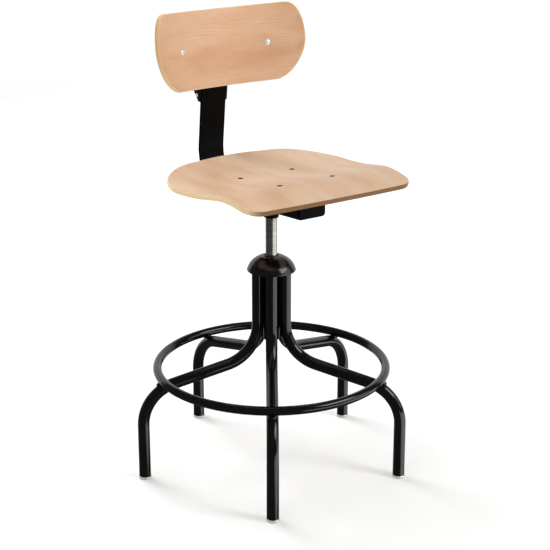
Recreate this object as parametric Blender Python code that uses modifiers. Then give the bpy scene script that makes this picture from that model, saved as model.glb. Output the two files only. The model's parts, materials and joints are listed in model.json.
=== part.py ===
"""Adjustable swivel stool: five-legged tube base with a foot ring, screw-lift spindle,
bent plywood seat, and a plywood backrest that moves in depth and height and tilts.

Metres, +Z up.  The sitter faces -Y.  The origin is on the floor, under the middle of the
stool's box.  "Forward" distances run from the swivel axis towards the sitter's knees, so a
point that lies f in front of the axis has y = AXIS_Y - f.
"""
import math

import bmesh
import bpy
import numpy as np
from mathutils import Matrix, Vector

# ---------------------------------------------------------------- driving dimensions
GAP = 0.0003                      # clearance between pieces that touch

# base
LEG_COUNT = 5
LEG_R = 0.0127                    # 25.4 mm tube
LEG_WALL = 0.0015
LEG_BEND_R = 0.0889               # both bends
LEG_SLOPE = math.radians(13)      # fall of the leg between its two bends
LEG_TOP_Z = 0.458
LEG_BEND_Z = 0.326                # where the straight top of the leg ends
LEG_END_Z = 0.006                 # lower end of the tube
FOOT_R = 0.2886                   # swivel axis to the middle of a foot
BASE_TURN = math.radians(1.8)     # how far the base is turned under the seat at rest
CENTRE_TUBE_R = 0.018
CENTRE_TUBE_WALL = 0.002
CENTRE_TUBE_LOW_Z = 0.290
RING_R = 0.2478                   # middle of the foot ring's tube
RING_TUBE_R = 0.009525            # 19.05 mm tube
CAP_R = 0.0525
CAP_WALL = 0.002
GLIDE_R = 0.0143
GLIDE_H = 0.0057

# spindle and its nut
SPINDLE_R = 0.0126
RUNNING = 0.0003                  # radial clearance of the spindle in nut and bush
SPINDLE_LOW_Z = 0.291
SPINDLE_TOP_Z = 0.6275
NUT_Z = (0.345, 0.385)
BUSH_LOW_Z = 0.415
HUB_R = 0.016
HUB_Z = (0.562, 0.634)

# seat
PLY_SEAT = 0.011
SEAT_HALF_REAR = 0.2172
SEAT_HALF_FRONT = 0.2049
SEAT_REAR_F = -0.1594             # forward distance of the rear edge
SEAT_FRONT_F = 0.2283
SEAT_REAR_CORNER = 0.1278
SEAT_FRONT_CORNER = 0.038
SEAT_REAR_BOW = 0.0416
SEAT_FRONT_BOW = 0.0032
SEAT_HEIGHTS = (                  # forward distance, height of the seat's upper face
    (-0.170, 0.6675), (-0.110, 0.6560), (-0.050, 0.6515), (0.010, 0.6531),
    (0.070, 0.6601), (0.130, 0.6683), (0.190, 0.6626), (0.230, 0.6550),
)
SEAT_BOLT_X = 0.0654
SEAT_BOLT_F = (-0.0172, 0.1244)
SEAT_PLATE_T = 0.003

# channel under the seat
CHANNEL_HALF = 0.03405
CHANNEL_SHEET = 0.0016
CHANNEL_F = (-0.125, 0.1465)      # rear end, front wall
CHANNEL_FLOOR = (0.073, 0.5882)   # a point on its underside: forward distance, height
CHANNEL_RISE = math.radians(4.2)  # its front is higher
CHANNEL_FOLD = (0.004, 0.008)      # outer radius of its lower folds, at the rear and in front

# back bar, height slider, backrest
BAR_HALF = 0.03175
BAR_T = 0.005
BAR_BEND_R = 0.088                # along the middle of the bar
BAR_LEAN = math.radians(6.0)      # the upright leans forward
BAR_FACE = (-0.2302, 0.675)       # a point on the upright's front face: forward distance, height
BAR_FRONT_F = -0.056
BAR_TOP_Z = 0.868
DEPTH_TRAVEL = 0.0254
DEPTH_LOCK_F = -0.093
SLIDER_LOW_Z = 0.7715
SLIDER_SHEET = 0.002
SLIDER_H = 0.096
SLIDER_DEPTH = 0.031
PIN_OUT = 0.0145                  # cross pins behind the bar's front face
PIN_UP = (0.0125, 0.060)
TILT_OUT = 0.0125                 # tilt pin in front of the bar's front face
TILT_UP = 0.060

PLY_BACK = 0.0105
BACK_CENTRE = (-0.1878, 0.8931)   # middle of the front face: forward distance, height
BACK_LEAN = math.radians(9.5)     # leans away from the sitter
BACK_CURVE_R = 0.332
BACK_W = 0.389                    # measured round the curve
BACK_H = 0.165
BACK_TOP_CORNER = (0.0391, 0.0763, 2.17)    # width, height, roundness of a corner
BACK_LOW_CORNER = (0.0712, 0.0885, 1.72)
BACK_BOLT_ARC = 0.1088
STRAP_T = 0.003
STRAP_HALF_H = 0.018

# ---------------------------------------------------------------- scene, frames, materials


def clear_scene():
    for obj in list(bpy.data.objects):
        bpy.data.objects.remove(obj, do_unlink=True)


def new_collection(name):
    made = bpy.data.collections.new(name)
    bpy.context.scene.collection.children.link(made)
    return made


clear_scene()
STOOL = new_collection("swivel_stool")
CUTTERS = new_collection("cutters")


def material(name, colour, roughness, metallic=0.0):
    made = bpy.data.materials.new(name)
    made.use_nodes = True
    shader = made.node_tree.nodes["Principled BSDF"]
    shader.inputs["Base Color"].default_value = (*colour, 1.0)
    shader.inputs["Roughness"].default_value = roughness
    shader.inputs["Metallic"].default_value = metallic
    return made


BLACK_ENAMEL = material("black_enamel", (0.012, 0.012, 0.013), 0.18)
BROWN_BLACK_PLASTIC = material("brown_black_plastic", (0.030, 0.024, 0.021), 0.16)
BLACK_PLASTIC = material("black_plastic", (0.015, 0.015, 0.016), 0.45)
BRIGHT_STEEL = material("bright_steel", (0.62, 0.61, 0.59), 0.28, 1.0)
NICKEL = material("nickel", (0.75, 0.73, 0.69), 0.15, 1.0)
DARK_SCREW = material("dark_screw", (0.06, 0.05, 0.045), 0.4, 1.0)
ZINC = material("zinc", (0.60, 0.61, 0.62), 0.35, 1.0)
NYLON = material("nylon", (0.72, 0.70, 0.64), 0.5)
RUBBER = material("rubber", (0.02, 0.02, 0.02), 0.85)
BRONZE = material("bronze", (0.55, 0.38, 0.20), 0.35, 1.0)
SEAT_PLY = material("seat_plywood", (0.72, 0.50, 0.33), 0.35)
BACK_PLY = material("back_plywood", (0.70, 0.45, 0.27), 0.35)


def frame(name, parent=None, location=(0, 0, 0), tilt=0.0, turn=0.0):
    """An empty: tilt turns it about X, turn about Z."""
    empty = bpy.data.objects.new(name, None)
    STOOL.objects.link(empty)
    empty.parent = parent
    empty.location = location
    empty.rotation_euler = (tilt, 0.0, turn)
    return empty


def place(obj, parent, location=(0, 0, 0), rotation=(0, 0, 0), finish=None, cutter=False):
    (CUTTERS if cutter else STOOL).objects.link(obj)
    obj.parent = parent
    obj.location = location
    obj.rotation_euler = rotation
    if finish is not None:
        obj.data.materials.append(finish)
    if cutter:
        obj.hide_render = True
        obj.display_type = "WIRE"
    return obj


def leg_azimuths():
    """Directions of the five legs seen from above; one lies under the backrest."""
    return [math.radians(90) + BASE_TURN + i * 2 * math.pi / LEG_COUNT for i in range(LEG_COUNT)]


def axis_offset():
    """Puts the swivel axis where the box round the feet and the foot ring is centred."""
    ring = RING_R + RING_TUBE_R
    feet = [FOOT_R * Vector((math.cos(a), math.sin(a))) for a in leg_azimuths()]
    xs = [foot.x + side * GLIDE_R for foot in feet for side in (-1, 1)] + [-ring, ring]
    ys = [foot.y + side * GLIDE_R for foot in feet for side in (-1, 1)] + [-ring, ring]
    return -(min(xs) + max(xs)) / 2, -(min(ys) + max(ys)) / 2


AXIS_X, AXIS_Y = axis_offset()
BASE = frame("base_frame", location=(AXIS_X, AXIS_Y, 0))
SEAT = frame("seat_frame", location=(AXIS_X, AXIS_Y, 0))

# ---------------------------------------------------------------- mesh helpers


def mesh_object(name, verts, faces=(), edges=()):
    mesh = bpy.data.meshes.new(name)
    mesh.from_pydata([tuple(v) for v in verts], list(edges), list(faces))
    mesh.update()
    return bpy.data.objects.new(name, mesh)


def smooth(obj, angle=35):
    obj.data.shade_smooth()
    obj.data.set_sharp_from_angle(angle=math.radians(angle))


def turned(name, profile, steps=24, ring=False):
    """Turns a profile of (radius, z) points about Z.  The points run from the top down the
    outer side; a ring's last point joins its first."""
    verts = [(r, 0.0, z) for r, z in profile]
    count = len(verts)
    edges = [(i, i + 1) for i in range(count - 1)]
    if ring:
        edges.append((count - 1, 0))
    obj = mesh_object(name, verts, edges=edges)
    screw = obj.modifiers.new("turn", "SCREW")
    screw.axis = "Z"
    screw.angle = 2 * math.pi
    screw.steps = steps
    screw.render_steps = steps
    screw.use_merge_vertices = True
    screw.merge_threshold = 0.00001
    screw.use_smooth_shade = True
    return obj


def rod(name, radius, low, high, steps=20):
    return turned(name, [(0, high), (radius, high), (radius, low), (0, low)], steps)


def pipe(name, outer, inner, low, high, steps=24):
    return turned(name, [(inner, high), (outer, high), (outer, low), (inner, low)], steps, ring=True)


def flat(name, loops, thickness):
    """A plate lying in XY from its outline and holes, its middle plane at z = 0."""
    curve = bpy.data.curves.new(name, "CURVE")
    curve.dimensions = "2D"
    curve.fill_mode = "BOTH"
    curve.extrude = thickness / 2
    for loop in loops:
        spline = curve.splines.new("POLY")
        spline.points.add(len(loop) - 1)
        for point, (x, y) in zip(spline.points, loop):
            point.co = (x, y, 0.0, 1.0)
        spline.use_cyclic_u = True
    return bpy.data.objects.new(name, curve)


def as_mesh(curve_object):
    """Makes a curve object a mesh object in the same place, its caps welded on."""
    bpy.context.scene.collection.objects.link(curve_object)
    bpy.context.view_layer.update()
    graph = bpy.context.evaluated_depsgraph_get()
    mesh = bpy.data.meshes.new_from_object(curve_object.evaluated_get(graph))
    work = bmesh.new()
    work.from_mesh(mesh)
    bmesh.ops.remove_doubles(work, verts=work.verts, dist=0.00001)
    work.to_mesh(mesh)
    work.free()
    name = curve_object.name
    made = bpy.data.objects.new(name, mesh)
    made.matrix_world = curve_object.matrix_world
    bpy.data.objects.remove(curve_object, do_unlink=True)
    made.name = name
    return made


def circle(radius, count=16, centre=(0, 0)):
    turns = [2 * math.pi * i / count for i in range(count)]
    return [(centre[0] + radius * math.cos(a), centre[1] + radius * math.sin(a)) for a in turns]


def rounded_box(x_low, x_high, y_low, y_high, radius, steps=4):
    corners = ((x_high, y_high, 0), (x_low, y_high, 90), (x_low, y_low, 180), (x_high, y_low, 270))
    loop = []
    for x, y, start in corners:
        cx = x - math.copysign(radius, x - (x_low + x_high) / 2)
        cy = y - math.copysign(radius, y - (y_low + y_high) / 2)
        for i in range(steps + 1):
            a = math.radians(start + 90 * i / steps)
            loop.append((cx + radius * math.cos(a), cy + radius * math.sin(a)))
    return loop


def hexagon(across_flats):
    return circle(across_flats / 2 / math.cos(math.pi / 6), 6)


def solidify(obj, thickness, offset=-1.0):
    mod = obj.modifiers.new("sheet", "SOLIDIFY")
    mod.thickness = thickness
    mod.offset = offset
    mod.use_even_offset = True


def bevel(obj, width, segments=2, angle=35):
    mod = obj.modifiers.new("round_edges", "BEVEL")
    mod.width = width
    mod.segments = segments
    mod.limit_method = "ANGLE"
    mod.angle_limit = math.radians(angle)


def weld(obj):
    mod = obj.modifiers.new("join_caps", "WELD")
    mod.merge_threshold = 0.00001


def cut(obj, cutter):
    mod = obj.modifiers.new("cut_" + cutter.name, "BOOLEAN")
    mod.operation = "DIFFERENCE"
    mod.object = cutter


def strip(name, rungs):
    """An open surface from pairs of points, each pair one rung of a ladder."""
    verts = [point for rung in rungs for point in rung]
    faces = [(2 * i, 2 * i + 1, 2 * i + 3, 2 * i + 2) for i in range(len(rungs) - 1)]
    return mesh_object(name, verts, faces)


def spline_height(points):
    """A natural cubic spline through (distance, height) points, as a function."""
    xs = np.array([p[0] for p in points])
    ys = np.array([p[1] for p in points])
    count = len(xs)
    gaps = np.diff(xs)
    matrix = np.eye(count)
    right = np.zeros(count)
    for i in range(1, count - 1):
        matrix[i, i - 1:i + 2] = (gaps[i - 1], 2 * (gaps[i - 1] + gaps[i]), gaps[i])
        right[i] = 6 * ((ys[i + 1] - ys[i]) / gaps[i] - (ys[i] - ys[i - 1]) / gaps[i - 1])
    bend = np.linalg.solve(matrix, right)

    def height(x):
        i = int(np.clip(np.searchsorted(xs, x) - 1, 0, count - 2))
        a = (xs[i + 1] - x) / gaps[i]
        b = 1 - a
        curve = ((a ** 3 - a) * bend[i] + (b ** 3 - b) * bend[i + 1]) * gaps[i] ** 2 / 6
        return float(a * ys[i] + b * ys[i + 1] + curve)

    return height


# ---------------------------------------------------------------- base


def leg_path():
    """Middle line of a leg as (distance from the axis, height), from its top to its foot."""
    top_r = CENTRE_TUBE_R + GAP + LEG_R
    bend = math.radians(90) - LEG_SLOPE
    steps = 8
    path = [(top_r, LEG_TOP_Z)]
    centre = (top_r + LEG_BEND_R, LEG_BEND_Z)
    for i in range(steps + 1):
        a = math.pi + bend * i / steps
        path.append((centre[0] + LEG_BEND_R * math.cos(a), centre[1] + LEG_BEND_R * math.sin(a)))
    slope_start = path[-1]
    outer_r = FOOT_R - LEG_BEND_R
    join_r = outer_r + LEG_BEND_R * math.cos(bend)
    join_z = slope_start[1] - (join_r - slope_start[0]) * math.tan(LEG_SLOPE)
    outer_z = join_z - LEG_BEND_R * math.sin(bend)
    for i in range(steps + 1):
        a = bend * (1 - i / steps)
        path.append((outer_r + LEG_BEND_R * math.cos(a), outer_z + LEG_BEND_R * math.sin(a)))
    path.append((FOOT_R, LEG_END_Z))
    return path, (outer_r, outer_z)


def make_leg(number, azimuth):
    path, _ = leg_path()
    curve = bpy.data.curves.new(f"leg_{number}", "CURVE")
    curve.dimensions = "3D"
    curve.bevel_depth = LEG_R
    curve.bevel_resolution = 5
    spline = curve.splines.new("POLY")
    spline.points.add(len(path) - 1)
    for point, (r, z) in zip(spline.points, path):
        point.co = (r, 0.0, z, 1.0)
    leg = as_mesh(bpy.data.objects.new(f"leg_{number}", curve))
    solidify(leg, LEG_WALL)
    smooth(leg, 50)
    place(leg, BASE, rotation=(0, 0, azimuth), finish=BLACK_ENAMEL)


def make_foot(number, azimuth):
    """The glide under a leg and the insert that holds its stem."""
    foot = frame(f"foot_frame_{number}", BASE, turn=azimuth)
    middle = (FOOT_R, 0, 0)
    stem = 0.004
    glide = turned(f"glide_{number}", [
        (0, 0.024), (stem, 0.024), (stem, GLIDE_H), (0.0128, GLIDE_H),
        (GLIDE_R, GLIDE_H - 0.0015), (GLIDE_R, 0.0022), (0.0122, 0), (0, 0)], 20)
    place(glide, foot, middle, finish=NICKEL)
    hold = stem + GAP
    plug_r = LEG_R - LEG_WALL - 2 * GAP
    insert = turned(f"glide_insert_{number}", [
        (0, 0.030), (plug_r, 0.030), (plug_r, LEG_END_Z + GAP), (hold, LEG_END_Z + GAP),
        (hold, 0.0245), (0, 0.0245)], 14)
    place(insert, foot, middle, finish=BLACK_PLASTIC)


def make_foot_ring():
    """The ring lies on the legs where their outer bend begins."""
    _, (bend_r, bend_z) = leg_path()
    reach = LEG_BEND_R + LEG_R + RING_TUBE_R + GAP
    height = bend_z + math.sqrt(reach ** 2 - (RING_R - bend_r) ** 2)
    bpy.ops.mesh.primitive_torus_add(
        major_radius=RING_R, minor_radius=RING_TUBE_R, major_segments=60, minor_segments=12)
    ring = bpy.context.object
    ring.name = "foot_ring"
    for home in list(ring.users_collection):
        home.objects.unlink(ring)
    smooth(ring)
    place(ring, BASE, (0, 0, height), finish=BLACK_ENAMEL)


def make_centre_column():
    inner = CENTRE_TUBE_R - CENTRE_TUBE_WALL
    tube = pipe("centre_tube", CENTRE_TUBE_R, inner, CENTRE_TUBE_LOW_Z, LEG_TOP_Z)
    place(tube, BASE, finish=BLACK_ENAMEL)
    bore = SPINDLE_R + RUNNING
    nut = pipe("spindle_nut", inner - GAP, bore, *NUT_Z)
    place(nut, BASE, finish=BRONZE)
    neck = 0.0144
    shoulder = 0.020
    seat_z = LEG_TOP_Z + GAP
    top = 0.4763
    bush = turned("spindle_bush", [
        (bore, top), (neck, top), (neck, seat_z + 0.004), (shoulder, seat_z + 0.004),
        (shoulder, seat_z), (inner - GAP, seat_z), (inner - GAP, BUSH_LOW_Z), (bore, BUSH_LOW_Z)],
        ring=True)
    place(bush, BASE, finish=BLACK_PLASTIC)


def make_bell_cap():
    """A turned shell: a shallow cone on top, a round shoulder and a short rolled rim."""
    outside = [
        (0.0148, 0.4768), (0.024, 0.4755), (0.032, 0.4720), (0.0402, 0.4663),
        (0.0462, 0.4597), (0.0503, 0.4518), (0.0518, 0.4480), (CAP_R, 0.4462), (0.0520, 0.4444)]
    inside = [(r - CAP_WALL * 0.7, z - CAP_WALL * 0.7) for r, z in outside[1:-1]]
    profile = outside + [(0.0505, 0.4444)] + inside[::-1] + [(0.0148, 0.4745)]
    cap = turned("bell_cap", profile, 36, ring=True)
    place(cap, BASE, finish=BROWN_BLACK_PLASTIC)


# ---------------------------------------------------------------- spindle


def make_spindle():
    hole = 0.0053
    spindle = turned("spindle", [
        (0, SPINDLE_TOP_Z), (SPINDLE_R - 0.001, SPINDLE_TOP_Z), (SPINDLE_R, SPINDLE_TOP_Z - 0.001),
        (SPINDLE_R, SPINDLE_LOW_Z), (hole, SPINDLE_LOW_Z), (hole, SPINDLE_LOW_Z + 0.024),
        (0, SPINDLE_LOW_Z + 0.024)], 28)
    place(spindle, SEAT, finish=BRIGHT_STEEL)
    washer_top = SPINDLE_LOW_Z - GAP
    washer_low = washer_top - 0.004
    washer = pipe("stop_washer", 0.0154, hole, washer_low, washer_top)
    place(washer, SEAT, finish=ZINC)
    head = washer_low - GAP
    shank = hole - GAP
    screw = turned("stop_screw", [
        (0, SPINDLE_LOW_Z + 0.022), (shank, SPINDLE_LOW_Z + 0.022), (shank, head), (0.0085, head),
        (0.0085, head - 0.0062), (0, head - 0.0062)], 18)
    place(screw, SEAT, finish=ZINC)


def make_hub():
    bore = SPINDLE_R + GAP
    low, top = HUB_Z
    roof = SPINDLE_TOP_Z + GAP
    hub = turned("hub", [
        (0, top), (HUB_R, top), (HUB_R, low + 0.001), (HUB_R - 0.001, low), (bore, low),
        (bore, roof), (0, roof)], 28)
    screw_z = low + 0.010
    hole = rod("hub_screw_hole", 0.0033, 0.0, 0.030, 16)
    place(hole, SEAT, (0, 0, screw_z), rotation=(math.radians(-90), 0, 0), cutter=True)
    cut(hub, hole)
    place(hub, SEAT, finish=BLACK_ENAMEL)
    screw = rod("hub_set_screw", 0.003, bore, HUB_R + 0.0008, 14)
    place(screw, SEAT, (0, 0, screw_z), rotation=(math.radians(-90), 0, 0), finish=DARK_SCREW)


# ---------------------------------------------------------------- seat and its support

seat_height = spline_height(SEAT_HEIGHTS)


def seat_outline():
    """Half width and forward distance of the seat's edge, from the rear middle to the front."""
    points = []
    flat_rear = SEAT_HALF_REAR - SEAT_REAR_CORNER
    for share in (0.2, 0.6, 1.0):
        x = flat_rear * share
        points.append((x, SEAT_REAR_F + SEAT_REAR_BOW * (x / SEAT_HALF_REAR) ** 2))
    corner_f = points[-1][1] + SEAT_REAR_CORNER
    for i in range(1, 11):
        a = math.radians(90) * i / 10
        points.append((flat_rear + SEAT_REAR_CORNER * math.sin(a),
                       corner_f - SEAT_REAR_CORNER * math.cos(a)))
    flat_front = SEAT_HALF_FRONT - SEAT_FRONT_CORNER
    front_f = SEAT_FRONT_F - SEAT_FRONT_BOW * (flat_front / SEAT_HALF_FRONT) ** 2
    side_end = front_f - SEAT_FRONT_CORNER
    for i in range(1, 13):
        share = i / 12
        points.append((SEAT_HALF_REAR + (SEAT_HALF_FRONT - SEAT_HALF_REAR) * share,
                       corner_f + (side_end - corner_f) * share))
    for i in range(1, 7):
        a = math.radians(90) * i / 6
        points.append((flat_front + SEAT_FRONT_CORNER * math.cos(a),
                       side_end + SEAT_FRONT_CORNER * math.sin(a)))
    for share in (0.5, 0.1):
        x = flat_front * share
        points.append((x, SEAT_FRONT_F - SEAT_FRONT_BOW * (x / SEAT_HALF_FRONT) ** 2))
    return points


def plate_plane():
    """The seat plate's upper plane: height under the rear bolts and its slope.  It runs parallel
    to the line through the bolts and just clears the seat's lowest point between them."""
    rear, front = SEAT_BOLT_F
    slope = (seat_height(front) - seat_height(rear)) / (front - rear)
    along = np.linspace(rear - 0.019, front + 0.017, 40)
    clear = min(seat_height(f) - slope * (f - rear) for f in along)
    drop = (PLY_SEAT + GAP) * math.sqrt(1 + slope ** 2) + 0.0004
    return clear - drop, math.atan(slope)


PLATE_Z, PLATE_TILT = plate_plane()


def plate_height(forward):
    return PLATE_Z + (forward - SEAT_BOLT_F[0]) * math.tan(PLATE_TILT)


def make_seat_panel():
    rungs = [((-x, -f, seat_height(f)), (x, -f, seat_height(f))) for x, f in seat_outline()]
    seat = strip("seat_panel", rungs)
    solidify(seat, PLY_SEAT)
    bevel(seat, 0.0035, 2, 50)
    smooth(seat)
    place(seat, SEAT, finish=SEAT_PLY)
    return seat


def make_seat_plate():
    rear, front = SEAT_BOLT_F
    middle = (rear + front) / 2
    half = (front - rear) / 2 / math.cos(PLATE_TILT)
    edge = 0.0185
    x_edge = SEAT_BOLT_X + 0.0135
    loops = [rounded_box(-x_edge, x_edge, -half - edge, half + edge, 0.012)]
    for x in (-SEAT_BOLT_X, SEAT_BOLT_X):
        for y in (-half, half):
            loops.append(circle(0.0036, 14, (x, y)))
    plate = flat("seat_plate", loops, SEAT_PLATE_T)
    centre_z = plate_height(middle) - SEAT_PLATE_T / 2 / math.cos(PLATE_TILT)
    place(plate, SEAT, (0, -middle, centre_z), rotation=(-PLATE_TILT, 0, 0), finish=BLACK_ENAMEL)


def make_seat_bolts(seat):
    """Four countersunk bolts, square to the seat plate, each with a nut under the plate."""
    shank = 0.003
    number = 0
    for forward in SEAT_BOLT_F:
        for x in (-SEAT_BOLT_X, SEAT_BOLT_X):
            number += 1
            above = (seat_height(forward) - plate_height(forward)) * math.cos(PLATE_TILT)
            bolt_y = -forward + above * math.sin(PLATE_TILT)
            bolt_z = plate_height(forward) + above * math.cos(PLATE_TILT)
            bolt_frame = frame(f"seat_bolt_frame_{number}", SEAT, (x, bolt_y, bolt_z), -PLATE_TILT)
            sink = 0.0006
            head_r = 0.006
            hole = turned(f"seat_bolt_hole_{number}", [
                (0, 0.004), (head_r + GAP, 0.004), (head_r + GAP, -sink), (shank + 0.0004, -sink - 0.0034),
                (shank + 0.0004, -0.016), (0, -0.016)], 16)
            place(hole, bolt_frame, cutter=True)
            cut(seat, hole)
            plate_low = above + SEAT_PLATE_T
            end = -plate_low - 0.0065
            bolt = turned(f"seat_bolt_{number}", [
                (0, -sink), (head_r, -sink - 0.0003), (shank, -sink - 0.0038), (shank, end), (0, end)], 16)
            place(bolt, bolt_frame, finish=DARK_SCREW)
            nut = flat(f"seat_nut_{number}", [hexagon(0.010), circle(shank + GAP, 12)], 0.005)
            place(nut, bolt_frame, (0, 0, -plate_low - GAP - 0.0025), finish=ZINC)


def floor_height(forward):
    """Underside of the channel's floor."""
    return CHANNEL_FLOOR[1] + (forward - CHANNEL_FLOOR[0]) * math.tan(CHANNEL_RISE)


def make_seat_channel():
    """A pressed pan: floor, two sides that taper at the rear, and a front wall.  The folds
    along its floor are tight round the bar and wider in front."""
    rear, front = CHANNEL_F
    shoulder = SEAT_BOLT_F[0] - 0.022
    below_plate = (SEAT_PLATE_T + GAP) / math.cos(PLATE_TILT)
    stations = [(rear, floor_height(rear) + 0.024, CHANNEL_FOLD[0])]
    for f, fold in ((shoulder, CHANNEL_FOLD[0]), (0.0, CHANNEL_FOLD[0]), (0.040, CHANNEL_FOLD[1]),
                    (front, CHANNEL_FOLD[1])):
        stations.append((f, plate_height(f) - below_plate, fold))
    verts = []
    steps = 4
    for f, rim, fold in stations:
        low = floor_height(f)
        corner = [(CHANNEL_HALF - fold + fold * math.sin(a), low + fold - fold * math.cos(a))
                  for a in (math.pi / 2 * i / steps for i in range(steps + 1))]
        right = corner + [(CHANNEL_HALF, rim)]
        verts += [(-x, -f, z) for x, z in right[::-1]] + [(x, -f, z) for x, z in right]
    count = len(verts) // len(stations)
    faces = [(i + j, i + j + 1, i + count + j + 1, i + count + j)
             for i in range(0, count * (len(stations) - 1), count) for j in range(count - 1)]
    faces.append(tuple(range(count * (len(stations) - 1), count * len(stations))))
    channel = mesh_object("seat_channel", verts, faces)
    bevel(channel, 0.004, 3, 40)
    solidify(channel, CHANNEL_SHEET)
    hub_hole = rod("hub_hole", HUB_R + GAP, 0.565, 0.610, 28)
    place(hub_hole, SEAT, cutter=True)
    cut(channel, hub_hole)
    stud_hole = rod("depth_stud_hole", 0.0046, -0.006, 0.005, 16)
    place(stud_hole, DEPTH_LOCK, cutter=True)
    cut(channel, stud_hole)
    place(channel, SEAT, finish=BLACK_ENAMEL)


# ---------------------------------------------------------------- locks


def knob_outline(radius, lobes=5, dip=0.13):
    """A round grip with lobes, as a closed curve in XY."""
    count = lobes * 8
    loop = []
    for i in range(count):
        a = 2 * math.pi * i / count
        r = radius * (1 - dip * (0.5 - 0.5 * math.cos(lobes * a)))
        loop.append((r * math.cos(a), r * math.sin(a)))
    return loop


def make_knob(name, parent, radius, low, high):
    grip = flat(name, [knob_outline(radius)], high - low)
    weld(grip)
    bevel(grip, 0.002, 2, 40)
    place(grip, parent, (0, 0, (low + high) / 2), finish=BLACK_PLASTIC)


DEPTH_LOCK = frame("depth_lock_frame", SEAT, (0, -DEPTH_LOCK_F, floor_height(DEPTH_LOCK_F)), -CHANNEL_RISE)


def make_depth_lock():
    """A knob under the channel whose stud pulls a clamp plate down on the back bar."""
    make_knob("depth_knob", DEPTH_LOCK, 0.017, -0.0160, -0.0012)
    stud_top = CHANNEL_SHEET + GAP + BAR_T + GAP + 0.009
    stud = rod("depth_stud", 0.004, -0.0009, stud_top, 16)
    place(stud, DEPTH_LOCK, finish=ZINC)
    clamp_t = 0.005
    clamp = flat("depth_clamp_plate", [rounded_box(-0.022, 0.022, -0.013, 0.013, 0.002, 2),
                                       circle(0.004 + GAP, 14)], clamp_t)
    clamp_z = CHANNEL_SHEET + GAP + BAR_T + GAP + clamp_t / 2
    place(clamp, DEPTH_LOCK, (0, 0, clamp_z), finish=ZINC)


# ---------------------------------------------------------------- back bar


def bar_face_forward(z):
    """Forward distance of the upright's front face at a height."""
    return BAR_FACE[0] + (z - BAR_FACE[1]) * math.tan(BAR_LEAN)


def bar_path():
    """Middle line of the bar as (forward distance, height), from its front end to its top."""
    run_lift = (CHANNEL_SHEET + GAP + BAR_T / 2) / math.cos(CHANNEL_RISE)
    behind = BAR_T / 2 / math.cos(BAR_LEAN)
    centre_f = BAR_FACE[0] - behind + BAR_BEND_R / math.cos(BAR_LEAN)
    centre_z = BAR_FACE[1]
    for _ in range(30):           # the bend touches both straight runs
        centre_z = floor_height(centre_f) + run_lift + BAR_BEND_R / math.cos(CHANNEL_RISE)
        centre_f = bar_face_forward(centre_z) - behind + BAR_BEND_R / math.cos(BAR_LEAN)
    path = [(BAR_FRONT_F, floor_height(BAR_FRONT_F) + run_lift)]
    start = math.radians(-90) + CHANNEL_RISE
    end = math.radians(-180) - BAR_LEAN
    steps = 12
    for i in range(steps + 1):
        a = start + (end - start) * i / steps
        path.append((centre_f + BAR_BEND_R * math.cos(a), centre_z + BAR_BEND_R * math.sin(a)))
    path.append((bar_face_forward(BAR_TOP_Z) - behind, BAR_TOP_Z))
    return path


def make_back_bar():
    rungs = [((-BAR_HALF, -f, z), (BAR_HALF, -f, z)) for f, z in bar_path()]
    bar = strip("back_bar", rungs)
    solidify(bar, BAR_T, 0.0)
    bevel(bar, 0.0012, 1, 60)
    half = DEPTH_TRAVEL + 0.0047
    loop = rounded_box(-0.0047, 0.0047, -half, half, 0.0046, 4)
    slot = as_mesh(flat("depth_slot", [loop], 0.030))
    place(slot, DEPTH_LOCK, (0, 0, 0.006), cutter=True)
    cut(bar, slot)
    place(bar, SEAT, finish=BLACK_ENAMEL)


# ---------------------------------------------------------------- height slider
# SLIDER: origin on the bar's front face at the slider's lower end, Y to the rear, Z up the bar.

SLIDER = frame("slider_frame", SEAT, (0, -bar_face_forward(SLIDER_LOW_Z), SLIDER_LOW_Z), BAR_LEAN)
SIDEWAYS = (0, math.radians(90), 0)          # lays a turned piece's axis along X
BRIDGE_UP = sum(PIN_UP) / 2


def make_slider():
    """A folded steel channel that wraps the bar from the front; the sides are cut back below."""
    half = BAR_HALF + GAP + SLIDER_SHEET
    front = -GAP - SLIDER_SHEET
    side = [(front, 0), (0.009, 0), (SLIDER_DEPTH, 0.021), (SLIDER_DEPTH, SLIDER_H), (front, SLIDER_H)]
    verts = [(-half, y, z) for y, z in side] + [(half, y, z) for y, z in side]
    faces = [(4, 3, 2, 1, 0), (5, 6, 7, 8, 9), (4, 0, 5, 9)]
    slider = mesh_object("back_slider", verts, faces)
    bevel(slider, 0.0028, 2, 60)
    solidify(slider, SLIDER_SHEET)
    for i, up in enumerate(PIN_UP):
        hole = rod(f"cross_pin_hole_{i}", 0.0033, -0.04, 0.04, 16)
        place(hole, SLIDER, (0, PIN_OUT, up), SIDEWAYS, cutter=True)
        cut(slider, hole)
    place(slider, SLIDER, finish=BLACK_ENAMEL)


def make_cross_pins():
    """Riveted pins across the slider, each with a roller that bears on the bar's rear face."""
    outer = BAR_HALF + GAP + SLIDER_SHEET + GAP
    head = 0.0042
    pin_r = 0.003
    for label, up in zip(("lower", "upper"), PIN_UP):
        half = [(0, outer + 0.0018), (head * 0.6, outer + 0.0017), (head, outer + 0.0007),
                (head, outer), (pin_r, outer)]
        profile = half + [(r, -z) for r, z in half[::-1]]
        pin = turned(f"cross_pin_{label}", profile, 16)
        place(pin, SLIDER, (0, PIN_OUT, up), SIDEWAYS, finish=NICKEL)
        roller = pipe(f"roller_{label}", PIN_OUT - BAR_T - GAP, pin_r + GAP, -BAR_HALF, BAR_HALF, 20)
        place(roller, SLIDER, (0, PIN_OUT, up), SIDEWAYS, finish=NYLON)


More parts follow.
